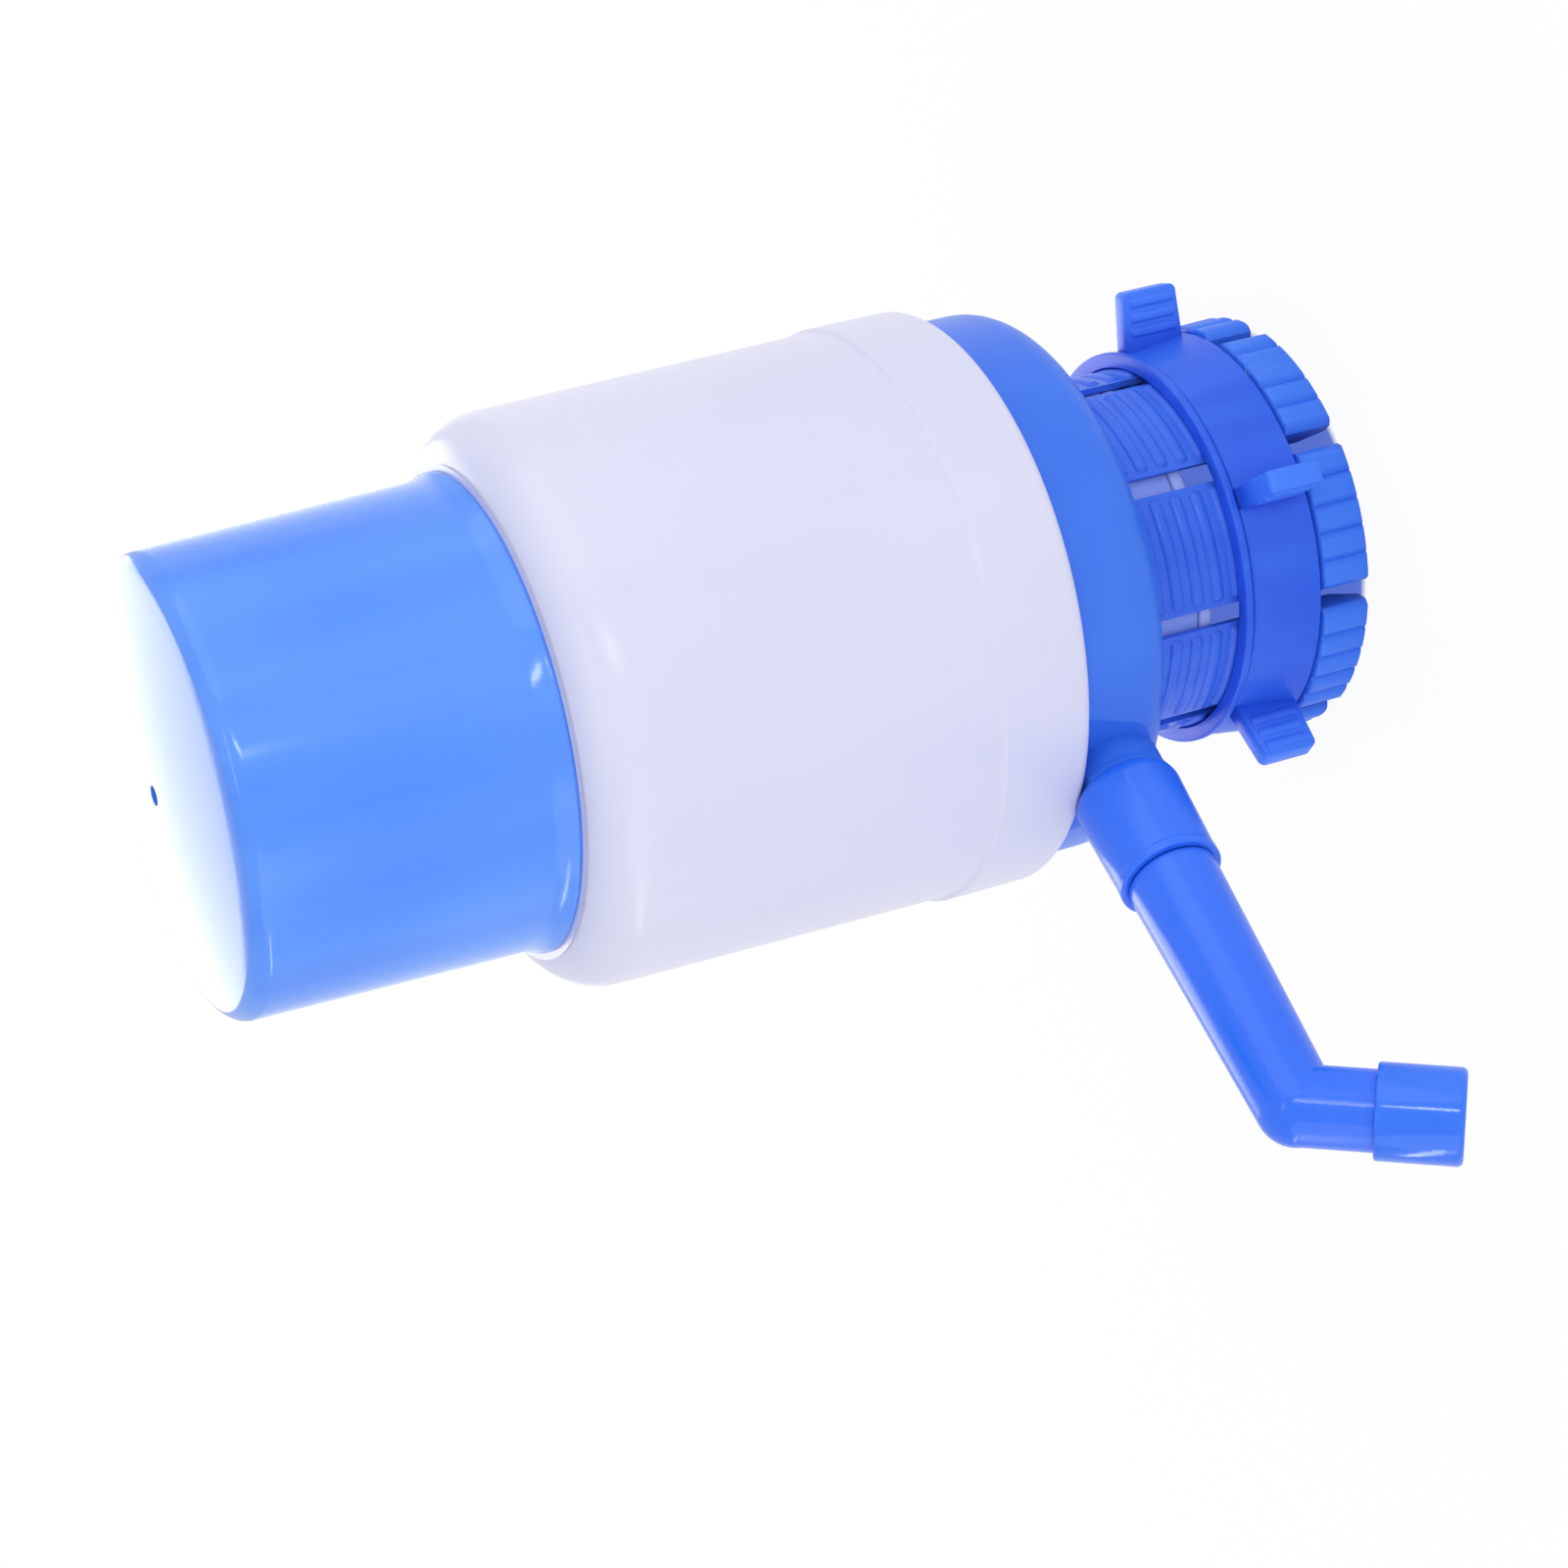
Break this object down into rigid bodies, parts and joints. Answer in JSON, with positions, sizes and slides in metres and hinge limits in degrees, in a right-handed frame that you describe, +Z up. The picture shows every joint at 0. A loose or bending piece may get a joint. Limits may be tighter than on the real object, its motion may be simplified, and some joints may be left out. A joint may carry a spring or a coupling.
{
  "type": "water jug hand pump",
  "caption": "Hand pump for a large water jug: press cap over a bellows in a round housing, swivelling elbow spout with dust cap, slotted neck collar with a winged lock ring.",
  "frame": {"origin": "centre of the bounding box on the plane that the collar's finger ends stand on", "axes": "+Z up the pump's axis towards the press cap; +X level, towards the spout; +Y completes the right-handed set"},
  "size_m": [0.1712, 0.0908, 0.183],
  "materials": {
    "cap_blue": "glossy moulded bright blue",
    "housing_white": "satin moulded white with a cool tint",
    "base_blue": "satin moulded blue",
    "collar_blue": "satin moulded blue, a little see-through at thin edges",
    "spout_blue": "glossy moulded blue",
    "inner_plastic": "natural white moulded plastic",
    "bellows_plastic": "soft blown natural white plastic",
    "gasket_silicone": "white silicone",
    "valve_rubber": "dark moulded rubber"
  },
  "bodies": {
    "body": {"housing_shell": "housing_white", "base_cover": "base_blue", "bellows": "bellows_plastic", "bellows_clamp_ring": "inner_plastic", "valve_deck": "inner_plastic", "air_valve": "valve_rubber", "water_elbow": "inner_plastic", "elbow_seal": "gasket_silicone", "neck_plate": "inner_plastic", "neck_gasket": "gasket_silicone", "neck_collar": "collar_blue", "outlet_sleeve": "spout_blue", "spout_o_ring": "valve_rubber"},
    "press": {"press_cap": "cap_blue", "intake_valve_seat": "inner_plastic", "intake_valve": "valve_rubber"},
    "slip_washer": {"ring_washer": "collar_blue"},
    "ring": {"lock_ring": "collar_blue"},
    "spout": {"spout_tube": "spout_blue"},
    "nozzle_cap": {"dust_cap": "spout_blue"}
  },
  "joints": [
    {"name": "press_slide", "type": "slide", "parent": "body", "child": "press", "axis": [0, 0, -1], "range_m": [0, 0.035], "stiffness_N_per_m": 300, "deforming": ["bellows"]},
    {"name": "ring_slide", "type": "slide", "parent": "body", "child": "slip_washer", "axis": [0, 0, 1], "range_m": [0, 0.0105]},
    {"name": "ring_turn", "type": "hinge", "parent": "slip_washer", "child": "ring", "pos_m": [-0.04017, 0, 0.01395], "axis": [0, 0, 1], "range_deg": [0, 1080]},
    {"name": "spout_swivel", "type": "hinge", "parent": "body", "child": "spout", "pos_m": [0.0196, 0, 0.05053], "axis": [0.9962, 0, 0.0872], "continuous": true},
    {"name": "dust_cap_pull", "type": "slide", "parent": "spout", "child": "nozzle_cap", "axis": [0.557, 0.2064, -0.8044], "range_m": [0, 0.014]}
  ],
  "couplings": [
    {"joint": "ring_slide", "follows": "ring_turn", "m_per_rad": 0.00055704}
  ]
}
